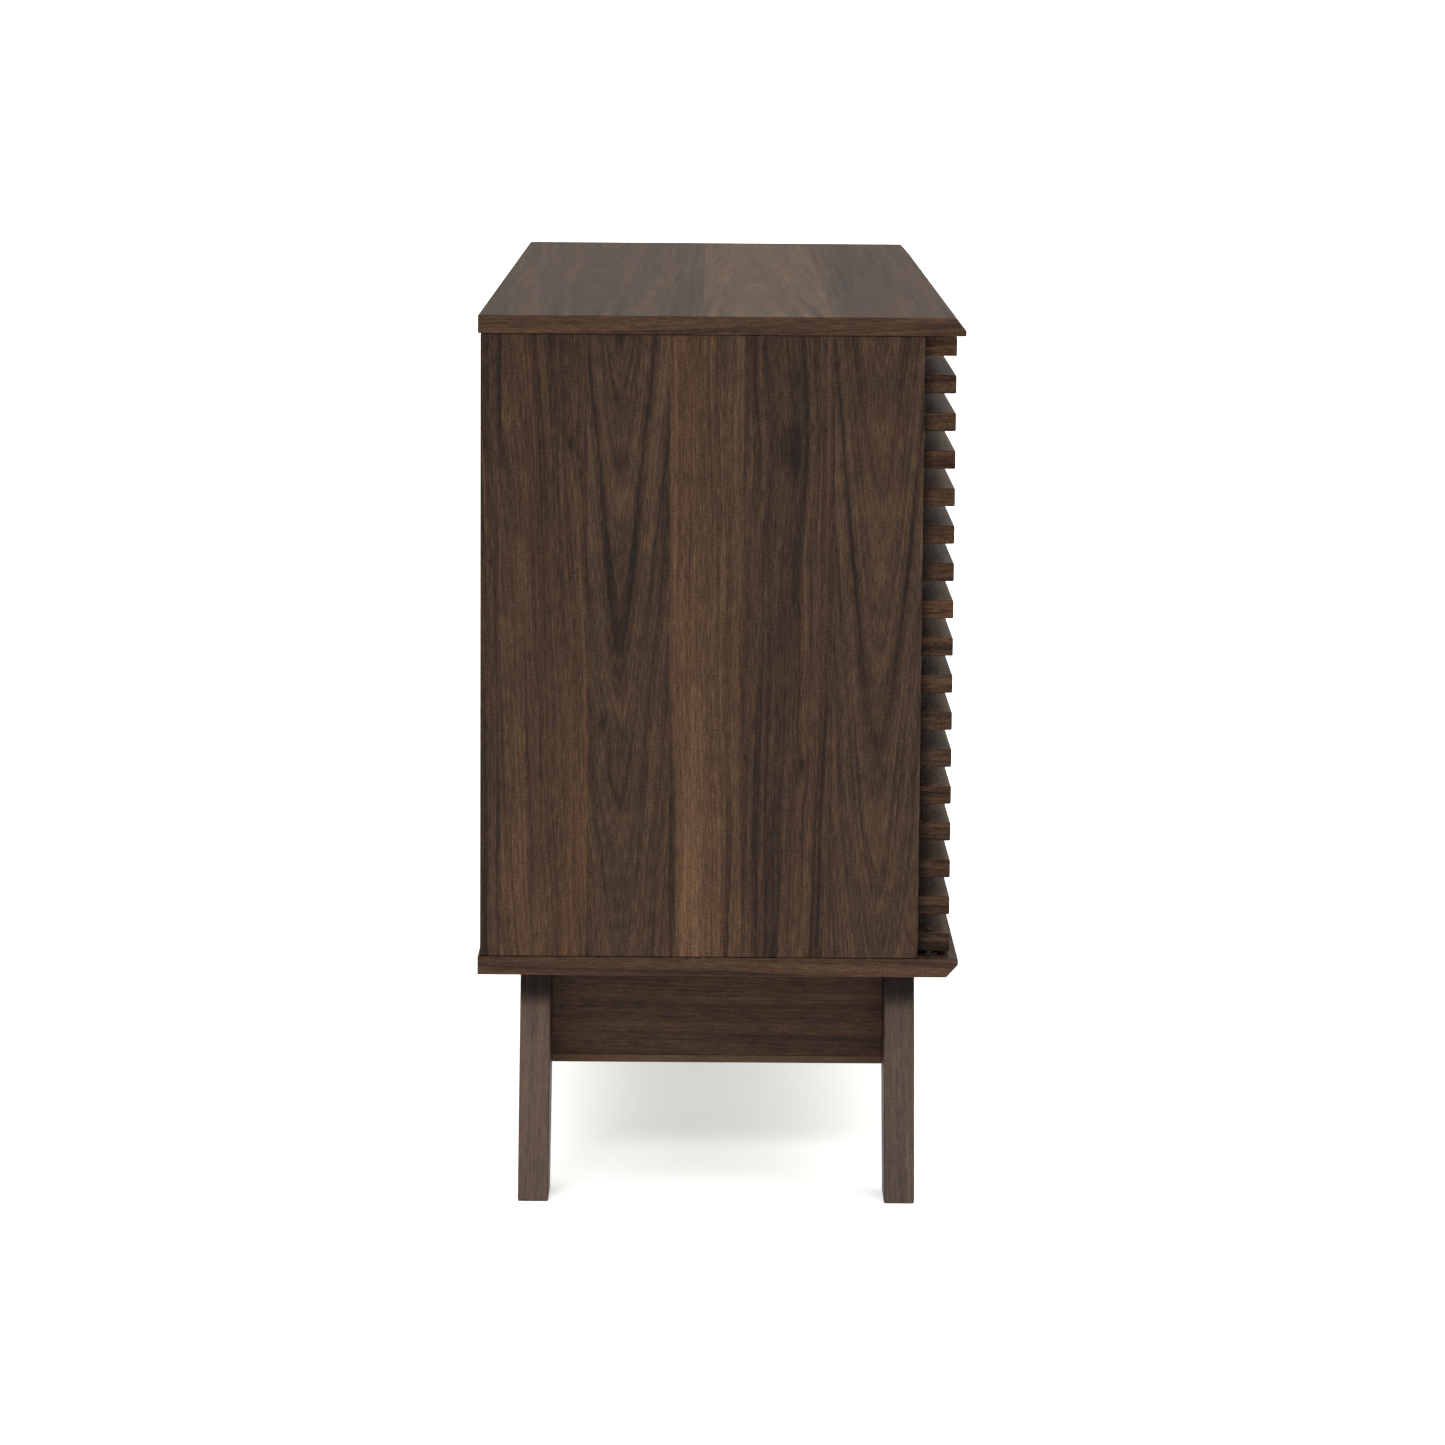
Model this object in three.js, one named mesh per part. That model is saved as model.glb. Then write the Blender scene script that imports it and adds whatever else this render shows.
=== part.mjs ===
// Shoe cabinet on splayed legs, with two doors faced in horizontal slats.
//
// Millimetres, +Z up. The width runs along X and the doors face -Y. The origin is on the floor,
// under the middle of the cabinet. "Left" and "right" are as seen by someone facing the doors.

import * as THREE from "three";

// Carcass
const WIDTH = 1200;
const DEPTH = 390;
const BOARD = 15;
const LEG_HEIGHT = 188;
const INNER_HEIGHT = 505;
const SIDE_SETBACK = 1.5; // side panels stand this far inside the ends of the boards
const SIDE_BACK_SETBACK = 2;
const SIDE_FRONT_SETBACK = 33;
const JOIN_GAP = 0.2; // between pieces that are screwed face to face

// Front edges of the top and bottom boards: a flat nose and a bevel running away from the doors
const BEVEL_DEPTH = 9.5;
const BEVEL_HEIGHT = 10.5;

// Back panel, divider and shelves
const BACK_THICKNESS = 5;
const BACK_RECESS = 5;
const DIVIDER_FRONT_CLEARANCE = 3;
const SHELF_FRONT_CLEARANCE = 12;
const SHELF_SIDE_CLEARANCE = 0.5;
const SHELVES_PER_SIDE = 2;

// Doors
const DOOR_PANEL = 15;
const DOOR_END_GAP = 2.5;
const DOOR_MIDDLE_GAP = 3;
const DOOR_BOTTOM_GAP = 3.4;
const SLAT_COUNT = 17;
const SLAT_HEIGHT = 15;
const SLAT_PROUD = 26.4;
const SLAT_PITCH = 30.3;

// Pivot hinges
const PIVOT_FROM_DOOR_END = 8;
const PIVOT_FROM_PANEL_FRONT = 9.5;
const PIN_RADIUS = 3;
const PIN_TIP_CHAMFER = 0.6;
const PIN_LENGTH = 12.5;
const FLANGE_RADIUS = 7;
const FLANGE_THICKNESS = 1;
const PIN_CLEARANCE = 0.35;
const ROUND_SEGMENTS = 32;

// Magnetic catches
const CATCH_LENGTH = 45;
const CATCH_DEPTH = 14;
const CATCH_HEIGHT = 12;
const CATCH_FROM_MIDDLE = 30;
const CATCH_TO_DOOR = 1.6;

// Legs and the stretcher between the two legs of each end
const LEG_THICKNESS = 25;
const LEG_CENTRE = 149.5;
const LEG_TOP_SETBACK = 60;
const LEG_TOP_WIDTH = 88;
const LEG_FOOT_WIDTH = 50;
const STRETCHER_SETBACK = 86;
const STRETCHER_THICKNESS = 15;
const STRETCHER_HEIGHT = 89.5;
const LIPPING_HEIGHT = 6.2; // a strip glued along the lower edge of the stretcher

// Levels and planes that follow from the dimensions
const boardBottom = LEG_HEIGHT;
const floorOfInside = boardBottom + BOARD;
const ceilingOfInside = floorOfInside + INNER_HEIGHT;
const front = -DEPTH / 2;
const back = DEPTH / 2;
const sideOuter = WIDTH / 2 - SIDE_SETBACK;
const sideInner = sideOuter - BOARD;
const sideFront = front + SIDE_FRONT_SETBACK;
const sideBack = back - SIDE_BACK_SETBACK;
const backPanelFront = sideBack - BACK_RECESS - BACK_THICKNESS;
const doorBack = sideFront + DOOR_PANEL;
const doorBottom = floorOfInside + DOOR_BOTTOM_GAP;
const doorHeight = (SLAT_COUNT - 1) * SLAT_PITCH + SLAT_HEIGHT;
const doorOuterEnd = sideInner - DOOR_END_GAP;
const doorInnerEnd = DOOR_MIDDLE_GAP / 2;
const pivotX = doorOuterEnd - PIVOT_FROM_DOOR_END;
const pivotY = sideFront - PIVOT_FROM_PANEL_FRONT;
const dividerHalf = BOARD / 2;

const group = new THREE.Group();

const finishes = {
  boardFace: { color: 0x46372f, roughness: 0.5 },
  sideFace: { color: 0x42322b, roughness: 0.55 },
  slat: { color: 0x3c2d26, roughness: 0.55 },
  inside: { color: 0x4a3a31, roughness: 0.6 },
  leg: { color: 0x5a4a40, roughness: 0.55 },
  steel: { color: 0x9a9c9e, roughness: 0.35, metalness: 1 },
  catchPlastic: { color: 0x2a2624, roughness: 0.6 },
};

function addMesh(name, geometry, finish) {
  const material = new THREE.MeshStandardMaterial({ metalness: 0, ...finishes[finish] });
  const mesh = new THREE.Mesh(geometry, material);
  mesh.name = name;
  group.add(mesh);
  return mesh;
}

// A board between two corners, given as [low, high] along each axis.
function addBoard(name, [x0, x1], [y0, y1], [z0, z1], finish) {
  const geometry = new THREE.BoxGeometry(x1 - x0, y1 - y0, z1 - z0);
  const mesh = addMesh(name, geometry, finish);
  mesh.position.set((x0 + x1) / 2, (y0 + y1) / 2, (z0 + z1) / 2);
}

function outline(points) {
  return new THREE.Shape(points.map(([u, v]) => new THREE.Vector2(u, v)));
}

// Mirrors a [low, high] range about zero for pieces on the left (side = -1).
function mirrored([low, high], side) {
  return side > 0 ? [low, high] : [-high, -low];
}

// A long board whose section, drawn in the YZ plane, runs the full width of the cabinet.
function addBevelledBoard(name, section, z) {
  const geometry = new THREE.ExtrudeGeometry(outline(section), { depth: WIDTH, bevelEnabled: false });
  const alongX = new THREE.Matrix4().makeBasis(
    new THREE.Vector3(0, 1, 0),
    new THREE.Vector3(0, 0, 1),
    new THREE.Vector3(1, 0, 0),
  );
  geometry.applyMatrix4(alongX);
  const mesh = addMesh(name, geometry, "boardFace");
  mesh.position.set(-WIDTH / 2, 0, z);
}

addBevelledBoard(
  "top_panel",
  [
    [back, 0],
    [back, BOARD],
    [front + BEVEL_DEPTH, BOARD],
    [front, BOARD - BEVEL_HEIGHT],
    [front, 0],
  ],
  ceilingOfInside,
);

addBevelledBoard(
  "bottom_panel",
  [
    [back, 0],
    [back, BOARD],
    [front, BOARD],
    [front, BEVEL_HEIGHT],
    [front + BEVEL_DEPTH, 0],
  ],
  boardBottom,
);

const insideHeight = [floorOfInside + JOIN_GAP, ceilingOfInside - JOIN_GAP];
const sides = [
  ["left", -1],
  ["right", 1],
];

for (const [hand, side] of sides) {
  addBoard(
    `side_panel_${hand}`,
    mirrored([sideInner, sideOuter], side),
    [sideFront, sideBack],
    insideHeight,
    "sideFace",
  );
}

addBoard(
  "back_panel",
  [-sideInner + JOIN_GAP, sideInner - JOIN_GAP],
  [backPanelFront, backPanelFront + BACK_THICKNESS],
  insideHeight,
  "inside",
);

addBoard(
  "centre_divider",
  [-dividerHalf, dividerHalf],
  [doorBack + DIVIDER_FRONT_CLEARANCE, backPanelFront - JOIN_GAP],
  insideHeight,
  "inside",
);

// Shelves split the height of each half into equal tiers.
const tier = (INNER_HEIGHT - SHELVES_PER_SIDE * BOARD) / (SHELVES_PER_SIDE + 1);
const shelfNames = ["lower", "upper"];
for (const [hand, side] of sides) {
  for (let i = 0; i < SHELVES_PER_SIDE; i += 1) {
    const shelfBottom = floorOfInside + tier * (i + 1) + BOARD * i;
    addBoard(
      `shelf_${hand}_${shelfNames[i]}`,
      mirrored([dividerHalf + SHELF_SIDE_CLEARANCE, sideInner - SHELF_SIDE_CLEARANCE], side),
      [doorBack + SHELF_FRONT_CLEARANCE, backPanelFront - JOIN_GAP],
      [shelfBottom, shelfBottom + BOARD],
      "inside",
    );
  }
}

// The top and bottom slats of a door are bored for its pivot pins.
function addBoredSlat(name, side, z) {
  const halfLength = (doorOuterEnd - doorInnerEnd) / 2;
  const halfDepth = SLAT_PROUD / 2;
  const centreX = side * (doorInnerEnd + halfLength);
  const centreY = sideFront - halfDepth;
  const section = outline([
    [-halfLength, -halfDepth],
    [halfLength, -halfDepth],
    [halfLength, halfDepth],
    [-halfLength, halfDepth],
  ]);
  const bore = new THREE.Path();
  bore.absarc(side * pivotX - centreX, pivotY - centreY, PIN_RADIUS + PIN_CLEARANCE, 0, Math.PI * 2, true);
  section.holes.push(bore);
  const geometry = new THREE.ExtrudeGeometry(section, {
    depth: SLAT_HEIGHT,
    bevelEnabled: false,
    curveSegments: ROUND_SEGMENTS,
  });
  const mesh = addMesh(name, geometry, "slat");
  mesh.position.set(centreX, centreY, z);
}

for (const [hand, side] of sides) {
  const doorRange = mirrored([doorInnerEnd, doorOuterEnd], side);
  addBoard(
    `door_${hand}_panel`,
    doorRange,
    [sideFront + JOIN_GAP, doorBack],
    [doorBottom, doorBottom + doorHeight],
    "slat",
  );
  for (let i = 0; i < SLAT_COUNT; i += 1) {
    const name = `door_${hand}_slat_${String(i + 1).padStart(2, "0")}`;
    const z = doorBottom + i * SLAT_PITCH;
    if (i === 0 || i === SLAT_COUNT - 1) {
      addBoredSlat(name, side, z);
    } else {
      addBoard(name, doorRange, [sideFront - SLAT_PROUD, sideFront], [z, z + SLAT_HEIGHT], "slat");
    }
  }
}

// A pivot is a round flange screwed to a board, with a pin that stands up from it into a slat.
function pivotGeometry() {
  const profile = [
    [0, 0],
    [FLANGE_RADIUS, 0],
    [FLANGE_RADIUS, FLANGE_THICKNESS],
    [PIN_RADIUS, FLANGE_THICKNESS],
    [PIN_RADIUS, PIN_LENGTH - PIN_TIP_CHAMFER],
    [PIN_RADIUS - PIN_TIP_CHAMFER, PIN_LENGTH],
    [0, PIN_LENGTH],
  ].map(([radius, level]) => new THREE.Vector2(radius, level));
  const geometry = new THREE.LatheGeometry(profile, ROUND_SEGMENTS);
  geometry.rotateX(Math.PI / 2);
  return geometry;
}

for (const [hand, side] of sides) {
  const lower = addMesh(`pivot_${hand}_lower`, pivotGeometry(), "steel");
  lower.position.set(side * pivotX, pivotY, floorOfInside + JOIN_GAP);
  const upper = addMesh(`pivot_${hand}_upper`, pivotGeometry(), "steel");
  upper.rotation.x = Math.PI;
  upper.position.set(side * pivotX, pivotY, ceilingOfInside - JOIN_GAP);
}

for (const [hand, side] of sides) {
  addBoard(
    `catch_${hand}`,
    mirrored([CATCH_FROM_MIDDLE, CATCH_FROM_MIDDLE + CATCH_LENGTH], side),
    [doorBack + CATCH_TO_DOOR, doorBack + CATCH_TO_DOOR + CATCH_DEPTH],
    [ceilingOfInside - JOIN_GAP - CATCH_HEIGHT, ceilingOfInside - JOIN_GAP],
    "catchPlastic",
  );
}

// A leg is cut from a thick board. It splays outward to the end of the cabinet at the floor, and
// tapers from the bottom board to the foot.
function legOutline(side) {
  const end = WIDTH / 2;
  const top = LEG_HEIGHT - JOIN_GAP;
  const corners = [
    [end, 0],
    [end - LEG_TOP_SETBACK, top],
    [end - LEG_TOP_SETBACK - LEG_TOP_WIDTH, top],
    [end - LEG_FOOT_WIDTH, 0],
  ];
  const placed = corners.map(([x, z]) => [side * x, z]);
  return outline(side > 0 ? placed : placed.reverse());
}

for (const [hand, side] of sides) {
  for (const [place, y] of [
    ["front", -LEG_CENTRE],
    ["back", LEG_CENTRE],
  ]) {
    const geometry = new THREE.ExtrudeGeometry(legOutline(side), {
      depth: LEG_THICKNESS,
      bevelEnabled: false,
    });
    geometry.rotateX(Math.PI / 2);
    const leg = addMesh(`leg_${place}_${hand}`, geometry, "leg");
    leg.position.y = y + LEG_THICKNESS / 2;
  }
  const stretcherOuter = WIDTH / 2 - STRETCHER_SETBACK;
  const stretcherX = mirrored([stretcherOuter - STRETCHER_THICKNESS, stretcherOuter], side);
  const stretcherBottom = LEG_HEIGHT - STRETCHER_HEIGHT;
  const halfSpan = LEG_CENTRE - LEG_THICKNESS / 2 - JOIN_GAP;
  const stretcherY = [-halfSpan, halfSpan];
  addBoard(
    `stretcher_${hand}`,
    stretcherX,
    stretcherY,
    [stretcherBottom + LIPPING_HEIGHT + JOIN_GAP, LEG_HEIGHT - JOIN_GAP],
    "leg",
  );
  addBoard(
    `stretcher_lipping_${hand}`,
    stretcherX,
    stretcherY,
    [stretcherBottom, stretcherBottom + LIPPING_HEIGHT],
    "leg",
  );
}

export default group;
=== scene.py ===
"""Shoe cabinet on splayed legs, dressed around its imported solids.

Metres, +Z up. The doors face -Y, and the camera looks along +X at the cabinet's left end.
"""
import math

import bmesh
import bpy
from mathutils import Matrix, Vector


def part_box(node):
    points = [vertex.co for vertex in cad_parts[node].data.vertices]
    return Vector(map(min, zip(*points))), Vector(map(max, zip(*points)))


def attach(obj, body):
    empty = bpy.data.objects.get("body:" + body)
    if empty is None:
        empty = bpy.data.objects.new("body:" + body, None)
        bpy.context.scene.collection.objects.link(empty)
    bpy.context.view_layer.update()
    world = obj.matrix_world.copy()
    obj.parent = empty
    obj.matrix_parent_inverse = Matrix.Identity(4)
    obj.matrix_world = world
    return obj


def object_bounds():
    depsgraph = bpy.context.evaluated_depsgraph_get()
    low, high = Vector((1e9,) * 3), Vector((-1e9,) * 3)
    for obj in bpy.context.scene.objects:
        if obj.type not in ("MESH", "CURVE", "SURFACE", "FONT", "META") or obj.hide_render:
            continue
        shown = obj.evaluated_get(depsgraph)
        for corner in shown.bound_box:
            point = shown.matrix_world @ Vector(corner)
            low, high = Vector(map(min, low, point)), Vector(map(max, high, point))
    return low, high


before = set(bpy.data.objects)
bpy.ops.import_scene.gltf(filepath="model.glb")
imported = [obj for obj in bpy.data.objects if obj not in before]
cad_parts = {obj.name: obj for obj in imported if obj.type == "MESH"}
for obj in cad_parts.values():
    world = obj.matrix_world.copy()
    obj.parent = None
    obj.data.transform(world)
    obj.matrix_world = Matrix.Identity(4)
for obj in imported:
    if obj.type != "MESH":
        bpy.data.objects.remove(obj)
cad_low, cad_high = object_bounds()

# Sizes read off the solids
slat_low, slat_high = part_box("door_left_slat_01")
slat_next_low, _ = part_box("door_left_slat_02")
slat_pitch = slat_next_low.z - slat_low.z

SIDES = (("left", -1.0), ("right", 1.0))


# Shader building ---------------------------------------------------------------------------

class Shader:
    """A material's node tree, with short calls for the nodes that the finishes share."""

    def __init__(self, name):
        self.material = bpy.data.materials.new(name)
        self.material.use_nodes = True
        tree = self.material.node_tree
        tree.nodes.clear()
        self.nodes, self.links = tree.nodes, tree.links
        self.bsdf = self.nodes.new("ShaderNodeBsdfPrincipled")
        output = self.nodes.new("ShaderNodeOutputMaterial")
        self.links.new(self.bsdf.outputs["BSDF"], output.inputs["Surface"])
        coords = self.nodes.new("ShaderNodeTexCoord")
        self.coords = coords.outputs["Object"]
        self.place = self.split(self.coords)
        self.normal = self.split(coords.outputs["Normal"])

    def put(self, socket, value):
        if isinstance(value, bpy.types.NodeSocket):
            self.links.new(value, socket)
        else:
            socket.default_value = value

    def math(self, operation, a, b=0.0):
        node = self.nodes.new("ShaderNodeMath")
        node.operation = operation
        self.put(node.inputs[0], a)
        self.put(node.inputs[1], b)
        return node.outputs[0]

    def add(self, a, b):
        return self.math("ADD", a, b)

    def sub(self, a, b):
        return self.math("SUBTRACT", a, b)

    def mul(self, a, b):
        return self.math("MULTIPLY", a, b)

    def lerp(self, factor, a, b):
        return self.add(a, self.mul(factor, self.sub(b, a)))

    def split(self, vector):
        node = self.nodes.new("ShaderNodeSeparateXYZ")
        self.links.new(vector, node.inputs[0])
        return node.outputs

    def join(self, x, y, z):
        node = self.nodes.new("ShaderNodeCombineXYZ")
        for socket, value in zip(node.inputs, (x, y, z)):
            self.put(socket, value)
        return node.outputs[0]

    def noise(self, vector, scale=1.0, detail=2.0, roughness=0.5, distortion=0.0):
        node = self.nodes.new("ShaderNodeTexNoise")
        self.links.new(vector, node.inputs["Vector"])
        node.inputs["Scale"].default_value = scale
        node.inputs["Detail"].default_value = detail
        node.inputs["Roughness"].default_value = roughness
        node.inputs["Distortion"].default_value = distortion
        return node.outputs["Fac"]

    def stretched_noise(self, place, scales, detail=2.0, roughness=0.5):
        """Noise at a place given as three values, each with its own scale."""
        stretched = self.join(*(self.mul(value, scale) for value, scale in zip(place, scales)))
        return self.noise(stretched, 1.0, detail, roughness)

    def random(self, value):
        node = self.nodes.new("ShaderNodeTexWhiteNoise")
        node.noise_dimensions = "1D"
        self.put(node.inputs["W"], value)
        return node.outputs["Value"]

    def remap(self, value, low, high, to_low=0.0, to_high=1.0):
        node = self.nodes.new("ShaderNodeMapRange")
        node.clamp = True
        for socket, setting in zip(node.inputs, (value, low, high, to_low, to_high)):
            self.put(socket, setting)
        return node.outputs[0]

    def ramp(self, factor, stops, interpolation="LINEAR"):
        node = self.nodes.new("ShaderNodeValToRGB")
        node.color_ramp.interpolation = interpolation
        elements = node.color_ramp.elements
        while len(elements) < len(stops):
            elements.new(0.5)
        for element, (position, colour) in zip(elements, stops):
            element.position = position
            element.color = (*colour, 1.0)
        self.put(node.inputs["Fac"], factor)
        return node.outputs["Color"]

    def blend(self, factor, a, b, mode="MIX"):
        node = self.nodes.new("ShaderNodeMix")
        node.data_type = "RGBA"
        node.blend_type = mode
        self.put(node.inputs[0], factor)
        for socket, value in ((node.inputs[6], a), (node.inputs[7], b)):
            self.put(socket, value if isinstance(value, bpy.types.NodeSocket) else (*value, 1.0))
        return node.outputs[2]

    def bump(self, height, distance, strength=1.0):
        node = self.nodes.new("ShaderNodeBump")
        node.inputs["Strength"].default_value = strength
        node.inputs["Distance"].default_value = distance
        self.links.new(height, node.inputs["Height"])
        self.links.new(node.outputs["Normal"], self.bsdf.inputs["Normal"])


# Walnut-look finish ------------------------------------------------------------------------

# Colours of the figure, darkest first
WALNUT_STOPS = (
    (0.00, (0.0038, 0.0018, 0.0011)),
    (0.25, (0.0122, 0.0058, 0.0034)),
    (0.50, (0.0292, 0.0148, 0.0082)),
    (0.75, (0.0545, 0.0293, 0.0156)),
    (1.00, (0.0885, 0.0494, 0.0264)),
)
RED_TINT = (1.06, 0.98, 0.93)
GREY_TINT = (0.95, 1.00, 1.05)
PLANK_REACH = 1.0  # metres that a plank's arches may be centred from zero, either way
PLANK_TAIL = 0.5  # metres that the last plank may go on from its edge
SLOPE_REACH = 0.3  # steepest drift of the growth rings along the grain
LEG_LEAN = 0.32  # how far the outer face of a leg moves in for each metre up
ARCH_ROUNDNESS = 0.014  # metres over which the tip of an arch is rounded
RING_WANDER = 0.020  # metres that the growth rings wander
KNOT_LENGTH = 2.6  # length of a knot along the grain, in widths
SLAT_MARGIN = 0.004  # metres under a slat that still count as part of it
SLAT_ROOT = 0.010  # depth of the strip of painted shade where a slat meets its door panel
SLAT_ROOT_PAINTED_SHADE = 0.32  # fall of the tone across that strip: the painted shade
SLAT_VARIETY = 0.10  # spread of tone from slat to slat
NO_TINT = (1.0, 1.0, 1.0)


def plank_lookup(s, across, planks):
    """Arch centre across the grain, ring drift along it and tone of the plank at a place."""
    start, end = planks[0][0], planks[-1][0] + PLANK_TAIL
    stops = [
        (
            (edge - start) / (end - start),
            (centre / (2 * PLANK_REACH) + 0.5, slope / (2 * SLOPE_REACH) + 0.5, tone),
        )
        for edge, centre, slope, tone in planks
    ]
    red, green, blue = s.split(s.ramp(s.remap(across, start, end), stops, "CONSTANT"))
    centre = s.mul(s.sub(red, 0.5), 2 * PLANK_REACH)
    slope = s.mul(s.sub(green, 0.5), 2 * SLOPE_REACH)
    return centre, slope, blue


def figure(
    s,
    along,
    across,
    depth,
    planks=None,
    shift=0.0,
    spots=(),
    tone=0.5,
    slope=0.04,
    contrast=1.0,
    coarse=1.0,
):
    """Tone from 0 (dark) to 1 (light) of walnut at a place, its hue, relief and mottle.

    Planks are rows of (edge, arch centre, ring drift, tone), and without them the wood is one
    piece. Spots are knots: (across, along, radius).
    """
    place = s.add(along, shift)
    if planks:
        centre, slope, tone = plank_lookup(s, across, planks)
    else:
        centre = 0.35 + 0.1 * math.sin(shift * 7.0)
    wander = s.stretched_noise((place, across, depth), (2.6, 11.0, 11.0), 2.0, 0.55)
    over = s.sub(across, centre)
    ring = s.math("SQRT", s.add(s.mul(over, over), ARCH_ROUNDNESS**2))
    ring = s.add(s.add(ring, s.mul(place, slope)), s.mul(s.sub(wander, 0.5), RING_WANDER))
    dark = 0.0
    for spot_across, spot_along, radius in spots:
        x = s.math("DIVIDE", s.sub(across, spot_across), radius)
        y = s.math("DIVIDE", s.sub(along, spot_along), radius * KNOT_LENGTH)
        near = s.math("SQRT", s.add(s.mul(x, x), s.mul(y, y)))
        ring = s.add(ring, s.remap(near, 3.5, 0.0, 0.0, radius * 0.9))
        dark = s.add(dark, s.remap(near, 1.0, 0.1, 0.0, 0.30))
    in_rings = (ring, place, depth)
    in_fibres = (across, place, depth)
    broad = s.stretched_noise(in_rings, (40.0, 0.9, 6.0), 2.0, 0.5)
    fine = s.stretched_noise(in_rings, (190.0, 2.2, 30.0), 2.0, 0.6)
    hair = s.stretched_noise(in_rings, (620.0, 9.0, 90.0), 2.0, 0.6)
    ripple = s.stretched_noise(in_rings, (60.0, 24.0, 60.0), 2.0, 0.6)
    fibre = s.stretched_noise(in_fibres, (700.0, 75.0, 700.0), 1.0)
    mottle = s.stretched_noise(in_fibres, (700.0, 520.0, 700.0), 1.0)
    value = s.mul(s.sub(broad, 0.5), 0.62 * coarse)
    layers = ((fine, 0.48 * coarse), (hair, 0.46), (fibre, 0.50), (mottle, 0.42), (ripple, 0.24))
    for layer, weight in layers:
        value = s.add(value, s.mul(s.sub(layer, 0.5), weight))
    value = s.sub(value, s.remap(fine, 0.44, 0.30, 0.0, 0.14 * coarse))
    value = s.add(value, s.remap(fine, 0.60, 0.76, 0.0, 0.08 * coarse))
    value = s.add(tone, s.mul(s.sub(value, dark), contrast))
    hue = s.stretched_noise((ring, place, s.add(depth, 4.0)), (24.0, 1.1, 1.0), 1.0)
    relief = s.add(s.mul(hair, 0.7), s.mul(mottle, 0.5))
    return value, s.remap(hue, 0.32, 0.68), relief, mottle


def axes_of(s, lay):
    """Object coordinates as (along, across, depth) of the grain for a lay of the wood."""
    x, y, z = s.place
    if lay == "flat":
        return x, y, z
    if lay == "door":
        return x, z, y
    if lay == "slat":
        return x, s.add(y, s.mul(z, 0.9)), s.sub(y, z)
    if lay == "rail":
        return y, z, x
    if lay == "back":
        return z, x, y
    if lay == "leg":
        outward = s.add(s.math("ABSOLUTE", x), s.mul(z, LEG_LEAN))
        return z, s.add(y, s.mul(outward, 0.9)), s.sub(y, outward)
    return z, y, x


def walnut(
    name,
    lay,
    planks=None,
    shift=0.0,
    spots=(),
    banded_ends=False,
    per_slat=False,
    tone=0.5,
    end_tone=0.0,
    end_contrast=1.0,
    painted_top_light=0.0,
    drift=0.04,
    contrast=1.0,
    coarse=1.0,
    painted_shades=(),
    painted_inward_shade=0.0,
    roughness=0.46,
    specular=0.09,
    tint=NO_TINT,
):
    """A walnut-look finish. With banded_ends, faces across X get their own edge band.

    With per_slat, each slat is a board of its own, darker with painted shade where it meets the door
    panel.
    Each of the shades is (from, to, fall): painted shade, where the tone falls by that much between two
    heights.
    Faces that look up are lighter by painted_top_light, a painted light, and faces that look
    towards the middle of the cabinet's depth are darker by painted_inward_shade, a painted shade.
    """
    s = Shader(name)
    x, y, z = s.place
    normal_x, normal_y, normal_z = s.normal
    along, across, depth = axes_of(s, lay)
    if per_slat:
        count = s.math("FLOOR", s.math("DIVIDE", s.sub(z, slat_low.z - SLAT_MARGIN), slat_pitch))
        seed = s.add(count, s.mul(s.math("SIGN", x), 50.0))
        draw = s.random(seed)
        along = s.add(along, s.mul(draw, 9.0))
        across = s.add(across, s.mul(s.random(s.add(seed, 200.0)), 0.4))
    value, hue, relief, mottle = figure(
        s, along, across, depth, planks, shift, spots, tone, drift, contrast, coarse
    )
    if banded_ends:
        e_along, e_across, e_depth = axes_of(s, "rail")
        if per_slat:
            e_along = s.add(e_along, s.mul(draw, 5.0))
        e_value, e_hue, e_relief, _ = figure(
            s, e_along, e_across, e_depth, None, shift + 3.7, contrast=end_contrast
        )
        e_value = s.add(e_value, end_tone)
        mask = s.remap(s.math("ABSOLUTE", normal_x), 0.80, 0.82)
        value = s.lerp(mask, value, e_value)
        hue = s.lerp(mask, hue, e_hue)
        relief = s.lerp(mask, relief, e_relief)
    if per_slat:
        value = s.add(value, s.mul(s.sub(draw, 0.5), SLAT_VARIETY))
        # Painted shade where the slat meets its door panel
        value = s.sub(value, s.remap(y, slat_high.y - SLAT_ROOT, slat_high.y, 0.0, SLAT_ROOT_PAINTED_SHADE))
    # Painted light: faces that look up are lighter
    if painted_top_light:
        value = s.add(value, s.remap(normal_z, 0.6, 0.9, 0.0, painted_top_light))
    # Painted shade: the tone falls between two heights
    for start, end, fall in painted_shades:
        value = s.sub(value, s.remap(z, start, end, 0.0, fall))
    # Painted shade on faces that look towards the middle of the cabinet's depth
    if painted_inward_shade:
        inward = s.mul(s.mul(normal_y, s.math("SIGN", y)), -1.0)
        value = s.sub(value, s.remap(inward, 0.6, 0.9, 0.0, painted_inward_shade))
    colour = s.ramp(value, WALNUT_STOPS)
    colour = s.blend(1.0, colour, s.blend(hue, RED_TINT, GREY_TINT), "MULTIPLY")
    if tint != NO_TINT:
        colour = s.blend(1.0, colour, tint, "MULTIPLY")
    s.put(s.bsdf.inputs["Base Color"], colour)
    s.put(s.bsdf.inputs["Roughness"], s.remap(mottle, 0.3, 0.7, roughness - 0.05, roughness + 0.06))
    s.bsdf.inputs["Specular IOR Level"].default_value = specular
    s.bump(relief, 0.00014, 0.6)
    return s.material


def steel(name, dark, light):
    """Brushed metal between two colours."""
    s = Shader(name)
    grain = s.noise(s.coords, 900.0, 3.0, 0.6)
    s.put(s.bsdf.inputs["Base Color"], s.ramp(grain, ((0.3, dark), (0.7, light))))
    s.put(s.bsdf.inputs["Roughness"], s.remap(grain, 0.3, 0.7, 0.28, 0.42))
    s.bsdf.inputs["Metallic"].default_value = 1.0
    s.bump(grain, 0.00003, 0.5)
    return s.material


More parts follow.
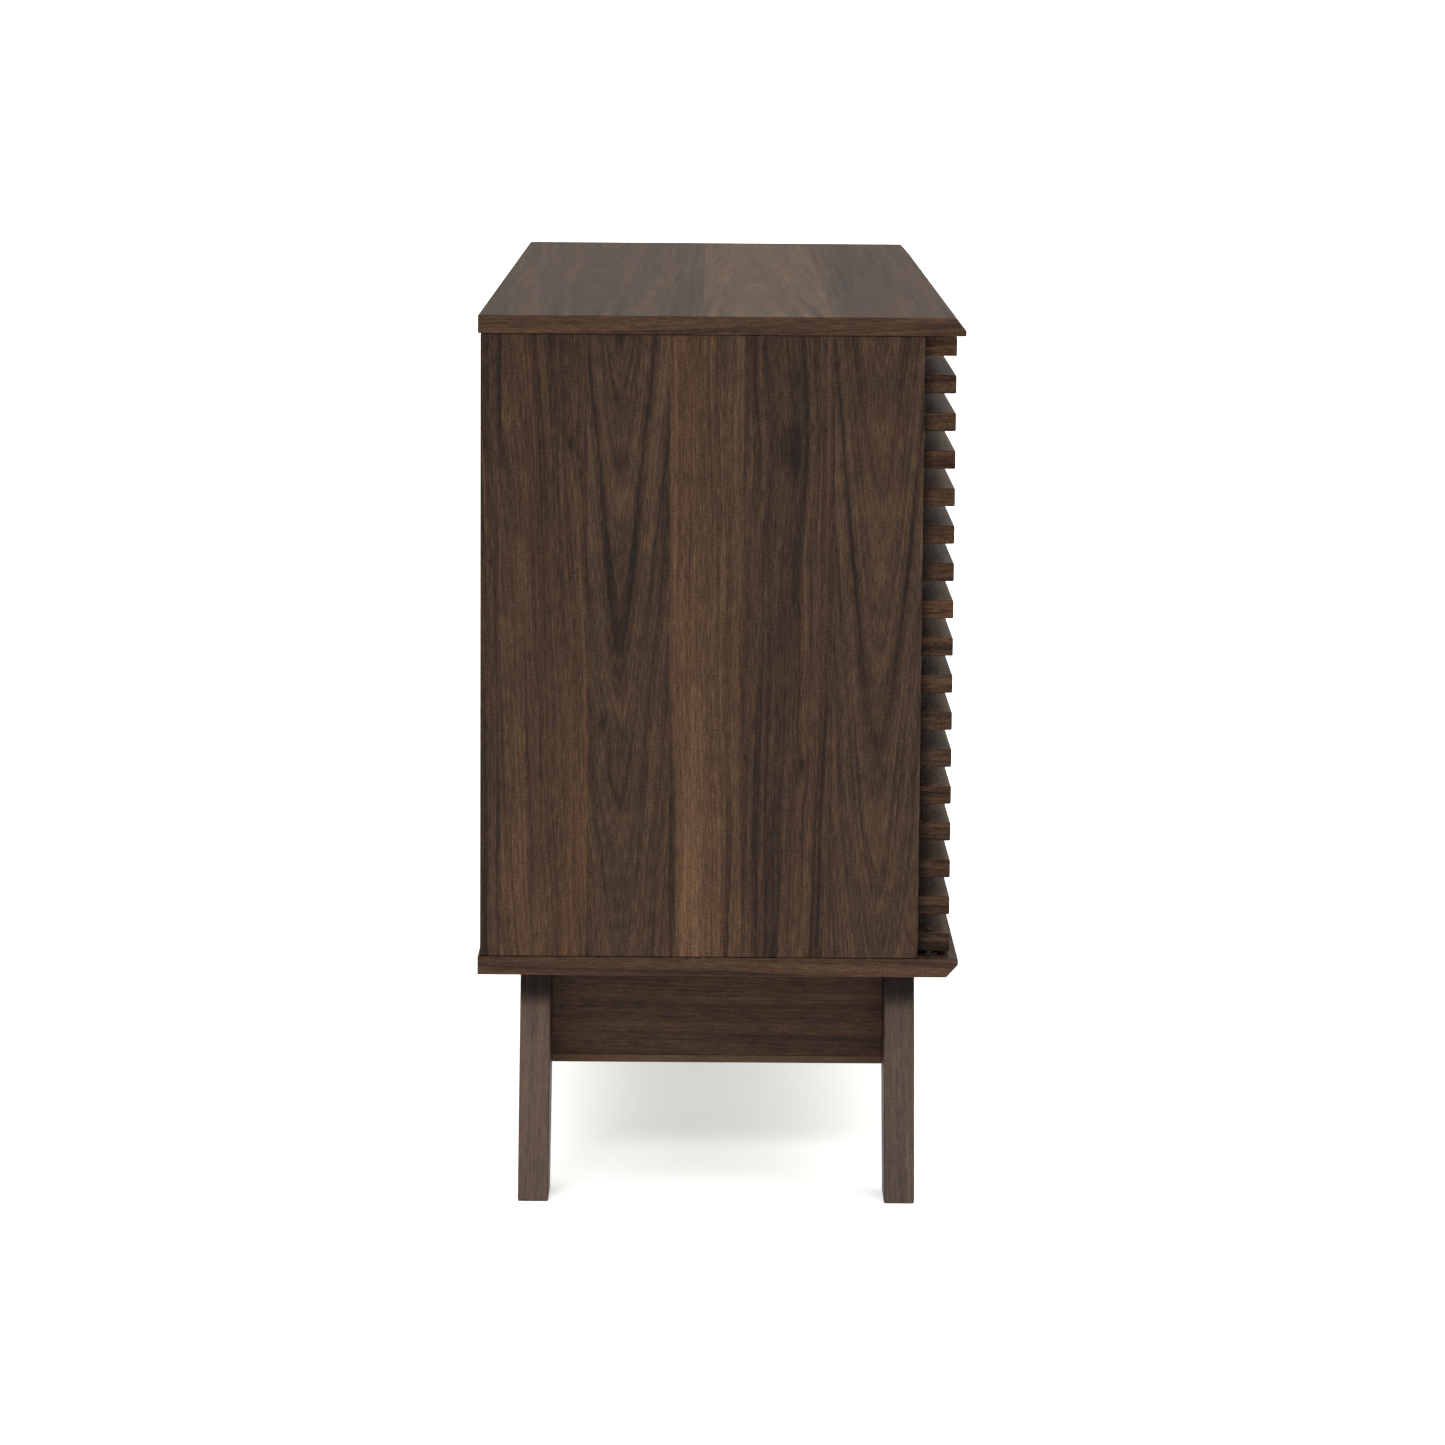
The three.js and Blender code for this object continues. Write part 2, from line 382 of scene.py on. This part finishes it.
def moulded_plastic(name, dark, light):
    """Finely grained plastic between two colours."""
    s = Shader(name)
    grain = s.noise(s.coords, 1400.0, 2.0)
    s.put(s.bsdf.inputs["Base Color"], s.ramp(grain, ((0.35, dark), (0.65, light))))
    s.put(s.bsdf.inputs["Roughness"], s.remap(grain, 0.3, 0.7, 0.45, 0.6))
    s.bump(grain, 0.00005, 0.6)
    return s.material


def hardboard(name):
    """Thin back panel: walnut-look foil inside, bare brown fibreboard behind."""
    s = Shader(name)
    along, across, depth = axes_of(s, "back")
    value, _, relief, _ = figure(s, along, across, depth, None, 5.3)
    foil = s.ramp(value, WALNUT_STOPS)
    fibre = s.noise(s.coords, 420.0, 5.0, 0.7, 0.4)
    cloud = s.noise(s.coords, 9.0, 3.0)
    bare = s.ramp(
        s.add(s.mul(fibre, 0.75), s.mul(cloud, 0.25)),
        ((0.35, (0.042, 0.024, 0.013)), (0.55, (0.074, 0.044, 0.025)), (0.72, (0.110, 0.068, 0.040))),
    )
    behind = s.remap(s.normal[1], 0.5, 0.6)
    s.put(s.bsdf.inputs["Base Color"], s.blend(behind, foil, bare))
    s.put(s.bsdf.inputs["Roughness"], s.remap(behind, 0.0, 1.0, 0.5, 0.82))
    s.bsdf.inputs["Specular IOR Level"].default_value = 0.30
    s.bump(s.add(relief, fibre), 0.00015, 0.6)
    return s.material


# Planks across each visible board, by Y on the sides and the top and by Z on the doors and
# the stretchers: (edge, arch centre, ring drift, tone)
SIDE_PLANKS = (
    (-0.1700, -0.128, -0.085, 0.55),
    (-0.0913, -0.190, 0.018, 0.49),
    (-0.0215, 0.400, 0.012, 0.62),
    (0.0386, 0.080, -0.070, 0.54),
    (0.1040, 0.180, 0.050, 0.54),
    (0.1740, 0.300, 0.020, 0.43),
)
TOP_PLANKS = (
    (-0.2000, -0.300, 0.006, 0.46),
    (-0.0910, -0.030, 0.022, 0.65),
    (0.0150, 0.110, -0.010, 0.48),
)
DOOR_PLANKS = (
    (0.2000, 0.330, 0.015, 0.44),
    (0.3300, 0.420, -0.045, 0.48),
    (0.4700, 0.900, 0.010, 0.42),
    (0.5900, 0.640, 0.040, 0.46),
)
STRETCHER_PLANKS = (
    (0.0900, 0.300, 0.012, 0.48),
    (0.1220, 0.300, 0.012, 0.55),
    (0.1430, 0.300, 0.012, 0.56),
)
# Knots of the left side: (across, height, radius)
SIDE_KNOTS = (
    (0.120, 0.621, 0.004),
    (-0.056, 0.618, 0.010),
    (0.094, 0.395, 0.005),
    (-0.068, 0.359, 0.004),
)
SIDE_PAINTED_SHADES = ((0.20, 0.70, 0.15),)  # painted shade: the sides are darker towards the top
# Painted shade on the legs: darkest right under the cabinet, and darker on their inner faces and at the
# foot
LEG_SETTINGS = {
    "contrast": 1.3,
    "coarse": 0.4,
    "painted_shades": ((0.152, 0.166, 0.50), (0.110, 0.0, 0.08)),
    "painted_inward_shade": 0.30,
    "roughness": 0.5,
    "specular": 0.27,
    "tint": (1.03, 0.97, 1.04),
}

# Finishes by the start of the node's name
finish = {
    "top_panel": walnut(
        "top_foil", "flat", TOP_PLANKS, banded_ends=True, end_tone=-0.06, contrast=0.7, roughness=0.56
    ),
    "bottom_panel": walnut("bottom_foil", "flat", TOP_PLANKS, shift=2.1, banded_ends=True, end_tone=0.07),
    "side_panel_left": walnut(
        "side_foil_left", "upright", SIDE_PLANKS, spots=SIDE_KNOTS, contrast=1.12, painted_shades=SIDE_PAINTED_SHADES
    ),
    "side_panel_right": walnut(
        "side_foil_right", "upright", SIDE_PLANKS, shift=1.3, contrast=1.12, painted_shades=SIDE_PAINTED_SHADES
    ),
    "back_panel": hardboard("back_board"),
    "centre_divider": walnut("divider_foil", "upright", shift=2.9),
    "slat": walnut(
        "slat_wrap",
        "slat",
        banded_ends=True,
        per_slat=True,
        tone=0.40,
        end_tone=0.03,
        end_contrast=1.2,
        # painted light on the tops of the slats
        painted_top_light=0.22,
        drift=0.012,
        roughness=0.30,
        specular=0.05,
    ),
    "door": walnut("door_foil", "door", DOOR_PLANKS, shift=4.4),
    "shelf": walnut("shelf_foil", "flat", shift=6.1, banded_ends=True),
    "leg_back": walnut("leg_wood_back", "leg", shift=1.9, tone=0.71, **LEG_SETTINGS),
    "leg_front": walnut("leg_wood_front", "leg", shift=8.4, tone=0.60, **LEG_SETTINGS),
    "stretcher": walnut("stretcher_foil", "rail", STRETCHER_PLANKS, shift=3.3, coarse=0.45),
    "stretcher_lipping": walnut("lipping_wood", "rail", shift=7.7, tone=0.76, contrast=0.7),
    "pivot": steel("bronzed_steel", (0.060, 0.052, 0.045), (0.110, 0.095, 0.080)),
    "catch": moulded_plastic("brown_plastic", (0.012, 0.009, 0.008), (0.022, 0.017, 0.014)),
}


def longest_start(name, table):
    """The longest key of a table that a node's name starts with."""
    return max((start for start in table if name.startswith(start)), key=len)


def finish_of(name):
    """The finish of a node. A slat's name starts as its door's does, but it has its own finish."""
    return finish["slat" if "_slat_" in name else longest_start(name, finish)]


# Rounded edges on the solids, by the start of their names; the first row is for all the rest
EDGE_ROUNDING = {
    "": 0.0007,
    "top_panel": 0.0012,
    "bottom_panel": 0.0008,
    "leg": 0.0014,
    "stretcher": 0.0003,
    "pivot": 0.0002,
    "door_left_slat": 0.0013,
    "door_right_slat": 0.0013,
}
WELD_DISTANCE = 0.00002

for name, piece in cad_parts.items():
    piece.data.materials.clear()
    piece.data.materials.append(finish_of(name))
    weld = piece.modifiers.new("weld", "WELD")
    weld.merge_threshold = WELD_DISTANCE
    flatten = piece.modifiers.new("flatten", "DECIMATE")
    flatten.decimate_type = "DISSOLVE"
    flatten.angle_limit = math.radians(1.0)
    rounding = piece.modifiers.new("rounding", "BEVEL")
    rounding.width = EDGE_ROUNDING[longest_start(name, EDGE_ROUNDING)]
    rounding.segments = 3
    rounding.limit_method = "ANGLE"
    rounding.angle_limit = math.radians(30.0)
    rounding.harden_normals = True


# Small hardware on the solids --------------------------------------------------------------

zinc = steel("bright_zinc", (0.34, 0.34, 0.35), (0.52, 0.52, 0.53))


def add_object(name, shape, body):
    """Turns a finished shape into a zinc-plated piece that rides on a body."""
    mesh = bpy.data.meshes.new(name)
    bmesh.ops.recalc_face_normals(shape, faces=shape.faces)
    shape.to_mesh(mesh)
    shape.free()
    mesh.materials.append(zinc)
    mesh.shade_smooth()
    mesh.set_sharp_from_angle(angle=math.radians(35.0))
    piece = bpy.data.objects.new(name, mesh)
    bpy.context.scene.collection.objects.link(piece)
    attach(piece, body)


def add_turning(shape, profile, foot, axis, steps=20):
    """Adds a closed turned solid: (radius, height) pairs along an axis from its foot."""
    turn = Vector((0, 0, 1)).rotation_difference(Vector(axis)).to_matrix()
    rings = []
    for radius, height in profile:
        ring = []
        for step in range(steps):
            angle = 2 * math.pi * step / steps
            local = Vector((radius * math.cos(angle), radius * math.sin(angle), height))
            ring.append(shape.verts.new(Vector(foot) + turn @ local))
        rings.append(ring)
    for lower, upper in zip(rings, rings[1:]):
        for step in range(steps):
            after = (step + 1) % steps
            shape.faces.new((lower[step], lower[after], upper[after], upper[step]))
    shape.faces.new(reversed(rings[0]))
    shape.faces.new(rings[-1])


def add_block(shape, low, high, bevel):
    """Adds a box with all its edges rounded."""
    centre = (Vector(low) + Vector(high)) / 2
    size = Vector(high) - Vector(low)
    place = Matrix.Translation(centre) @ Matrix.Diagonal((*size, 1.0))
    made = bmesh.ops.create_cube(shape, size=1.0, matrix=place)
    edges = {edge for vert in made["verts"] for edge in vert.link_edges}
    bmesh.ops.bevel(shape, geom=list(edges), offset=bevel, segments=2, profile=0.5, affect="EDGES")


def screw_head(shape, foot, axis, radius=0.0032, height=0.0009):
    """Adds a domed screw head with a round drive recess."""
    profile = (
        (radius, 0.0),
        (radius, height * 0.25),
        (radius * 0.82, height * 0.75),
        (radius * 0.50, height),
        (radius * 0.34, height),
        (radius * 0.28, height * 0.35),
    )
    add_turning(shape, profile, foot, axis)


# Shelf pins, just under the shelves: a collar against the upright and a stub
PIN_COLLAR = (0.0042, 0.0012)  # radius, and height from the upright
PIN_STUB = (0.0026, 0.0085)  # the same for the stub
PIN_PROFILE = (
    (PIN_COLLAR[0], 0.0),
    (PIN_COLLAR[0], PIN_COLLAR[1] * 0.8),
    (PIN_COLLAR[0] * 0.93, PIN_COLLAR[1]),
    (PIN_STUB[0], PIN_COLLAR[1]),
    (PIN_STUB[0], PIN_STUB[1] * 0.94),
    (PIN_STUB[0] * 0.80, PIN_STUB[1]),
)
PIN_GAP = 0.0001  # between a pin's collar and the shelf above it
PIN_FOOT = 0.0004  # from the end of a shelf to the foot of its pins
PIN_INSET = 0.030  # from the edges of a shelf to its pins
for side, sign in SIDES:
    for level in ("lower", "upper"):
        shelf_low, shelf_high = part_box(f"shelf_{side}_{level}")
        outer = max(abs(shelf_low.x), abs(shelf_high.x))
        inner = min(abs(shelf_low.x), abs(shelf_high.x))
        pins = bmesh.new()
        z = shelf_low.z - PIN_COLLAR[0] - PIN_GAP
        for y in (shelf_low.y + PIN_INSET, shelf_high.y - PIN_INSET):
            add_turning(pins, PIN_PROFILE, (sign * (outer + PIN_FOOT), y, z), (-sign, 0, 0))
            add_turning(pins, PIN_PROFILE, (sign * (inner - PIN_FOOT), y, z), (sign, 0, 0))
        add_object(f"shelf_pins_{side}_{level}", pins, "carcass")

# Strike plates behind the doors, and the screws of the catches they meet
PLATE_SIDE_MARGIN = 0.004  # how much shorter the plate is than its catch, at each end
PLATE_EDGE_MARGIN = 0.001  # from the top of the door panel, and below the catch
PLATE_THICKNESS = 0.0010
PLATE_ROUNDING = 0.0003
PLATE_SCREW_INSET = 0.006
PLATE_SCREW = (0.0028, 0.0005)
CATCH_SCREW_INSET = 0.008
for side, _ in SIDES:
    catch_low, catch_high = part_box(f"catch_{side}")
    _, panel_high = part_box(f"door_{side}_panel")
    start, end = catch_low.x + PLATE_SIDE_MARGIN, catch_high.x - PLATE_SIDE_MARGIN
    bottom, top = catch_low.z - PLATE_EDGE_MARGIN, panel_high.z - PLATE_EDGE_MARGIN
    back = panel_high.y
    plate = bmesh.new()
    add_block(plate, (start, back, bottom), (end, back + PLATE_THICKNESS, top), PLATE_ROUNDING)
    for x in (start + PLATE_SCREW_INSET, end - PLATE_SCREW_INSET):
        foot = (x, back + PLATE_THICKNESS * 0.9, (bottom + top) / 2)
        screw_head(plate, foot, (0, 1, 0), *PLATE_SCREW)
    add_object(f"strike_plate_{side}", plate, f"door_{side}")
    screws = bmesh.new()
    for x in (catch_low.x + CATCH_SCREW_INSET, catch_high.x - CATCH_SCREW_INSET):
        screw_head(screws, (x, (catch_low.y + catch_high.y) / 2, catch_low.z), (0, 0, -1))
    add_object(f"catch_screws_{side}", screws, "carcass")

# Brad heads round the edge of the back panel and down its middle
BRAD_INSET = 0.006
BRADS_ACROSS = 9
BRADS_DOWN = 3
BRAD_HEAD = (0.0024, 0.0005)
back_low, back_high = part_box("back_panel")
first_x, last_x = back_low.x + BRAD_INSET, back_high.x - BRAD_INSET
places = []
for step in range(BRADS_ACROSS):
    x = first_x + (last_x - first_x) * step / (BRADS_ACROSS - 1)
    places += [(x, back_low.z + BRAD_INSET), (x, back_high.z - BRAD_INSET)]
for step in range(1, BRADS_DOWN + 1):
    z = back_low.z + (back_high.z - back_low.z) * step / (BRADS_DOWN + 1)
    places += [(first_x, z), (0.0, z), (last_x, z)]
brads = bmesh.new()
for x, z in places:
    screw_head(brads, (x, back_high.y, z), (0, 1, 0), *BRAD_HEAD)
add_object("back_panel_brads", brads, "carcass")


# Camera, floor and lights ------------------------------------------------------------------

CAMERA_PLACE = Vector((-4.7062, 0.0099, 0.9802))
CAMERA_YAW = -0.0030067  # radians, as are the two below
CAMERA_PITCH = 0.14133
CAMERA_ROLL = 0.007356
CAMERA_FOCAL = 128.23  # millimetres, on a sensor 36 wide

FLOOR_RADIUS = 3000.0
FLOOR_GAP = 0.0002  # between the floor and the feet
FLOOR_GLOW = 0.25  # the floor is a faintly lit table, which keeps its shadows pale
KEY_PLACE = Vector((-9.2, 1.9, 5.7))
KEY_TARGET = Vector((-0.57, 0.0, 0.3))
KEY_SIZE = (4.8, 2.3)
KEY_POWER = 428.0
STUDIO_WHITE = (0.935, 0.95, 0.90)  # colour of the light that comes from all round
# Brightness of the studio against X, Y and Z of the direction: (component, level)
WORLD_ALONG = ((-1.0, 0.12), (0.0, 0.66), (1.0, 0.36))
WORLD_ACROSS = ((-1.0, 3.4), (0.0, 1.0), (1.0, 1.7))
WORLD_UP = ((0.1, 0.0), (0.6, 0.75), (1.0, 3.0))


def make_camera():
    """A camera that looks at the left end from a little above the top."""
    data = bpy.data.cameras.new("camera")
    data.sensor_width = 36.0
    data.lens = CAMERA_FOCAL
    data.clip_end = 4000.0
    camera = bpy.data.objects.new("camera", data)
    bpy.context.scene.collection.objects.link(camera)
    forward = Vector(
        (
            math.cos(CAMERA_PITCH) * math.cos(CAMERA_YAW),
            math.cos(CAMERA_PITCH) * math.sin(CAMERA_YAW),
            -math.sin(CAMERA_PITCH),
        )
    )
    right = forward.cross(Vector((0, 0, 1))).normalized()
    up = right.cross(forward)
    tilted_right = right * math.cos(CAMERA_ROLL) + up * math.sin(CAMERA_ROLL)
    tilted_up = up * math.cos(CAMERA_ROLL) - right * math.sin(CAMERA_ROLL)
    turn = Matrix((tilted_right, tilted_up, -forward)).transposed()
    camera.matrix_world = Matrix.Translation(CAMERA_PLACE) @ turn.to_4x4()
    bpy.context.scene.camera = camera


def make_floor():
    """A plain pale floor."""
    mesh = bpy.data.meshes.new("floor")
    shape = bmesh.new()
    bmesh.ops.create_circle(shape, cap_ends=True, radius=FLOOR_RADIUS, segments=96)
    shape.to_mesh(mesh)
    shape.free()
    floor = bpy.data.objects.new("floor", mesh)
    bpy.context.scene.collection.objects.link(floor)
    floor.location.z = cad_low.z - FLOOR_GAP
    s = Shader("floor_paper")
    cloud = s.noise(s.coords, 3.0, 4.0)
    paper = s.ramp(cloud, ((0.3, (0.89, 0.89, 0.90)), (0.7, (0.91, 0.91, 0.92))))
    s.put(s.bsdf.inputs["Base Color"], paper)
    s.bsdf.inputs["Roughness"].default_value = 0.9
    s.bsdf.inputs["Specular IOR Level"].default_value = 0.1
    s.bsdf.inputs["Emission Color"].default_value = (1.0, 1.0, 1.0, 1.0)
    s.bsdf.inputs["Emission Strength"].default_value = FLOOR_GLOW
    mesh.materials.append(s.material)


def make_key_light():
    """A large softbox above and behind the camera, towards the back of the cabinet."""
    data = bpy.data.lights.new("key", "AREA")
    data.shape = "RECTANGLE"
    data.size, data.size_y = KEY_SIZE
    data.energy = KEY_POWER
    light = bpy.data.objects.new("key", data)
    bpy.context.scene.collection.objects.link(light)
    light.location = KEY_PLACE
    light.rotation_mode = "QUATERNION"
    light.rotation_quaternion = (KEY_TARGET - KEY_PLACE).to_track_quat("-Z", "Y")


def make_world():
    """White studio: bright overhead and towards the doors, dimmer behind the camera."""
    world = bpy.data.worlds.new("studio")
    world.use_nodes = True
    tree = world.node_tree
    tree.nodes.clear()
    output = tree.nodes.new("ShaderNodeOutputWorld")
    background = tree.nodes.new("ShaderNodeBackground")
    tree.links.new(background.outputs[0], output.inputs["Surface"])
    coords = tree.nodes.new("ShaderNodeTexCoord")
    split = tree.nodes.new("ShaderNodeSeparateXYZ")
    tree.links.new(coords.outputs["Generated"], split.inputs[0])

    def ramp(axis, stops):
        span = tree.nodes.new("ShaderNodeMapRange")
        span.inputs[1].default_value, span.inputs[2].default_value = stops[0][0], stops[-1][0]
        tree.links.new(split.outputs[axis], span.inputs[0])
        node = tree.nodes.new("ShaderNodeValToRGB")
        node.color_ramp.interpolation = "EASE"
        elements = node.color_ramp.elements
        while len(elements) < len(stops):
            elements.new(0.5)
        reach = stops[-1][0] - stops[0][0]
        for element, (value, level) in zip(elements, stops):
            element.position = (value - stops[0][0]) / reach
            element.color = (level, level, level, 1.0)
        tree.links.new(span.outputs[0], node.inputs["Fac"])
        return node.outputs["Color"]

    def combine(operation, a, b):
        node = tree.nodes.new("ShaderNodeMath")
        node.operation = operation
        tree.links.new(a, node.inputs[0])
        tree.links.new(b, node.inputs[1])
        return node.outputs[0]

    length = ramp(0, WORLD_ALONG)
    doors = ramp(1, WORLD_ACROSS)
    height = ramp(2, WORLD_UP)
    level = combine("ADD", combine("MULTIPLY", length, doors), height)
    background.inputs["Color"].default_value = (*STUDIO_WHITE, 1.0)
    tree.links.new(level, background.inputs["Strength"])
    bpy.context.scene.world = world


make_camera()
make_floor()
make_world()
make_key_light()
bpy.context.scene.view_settings.view_transform = "Standard"
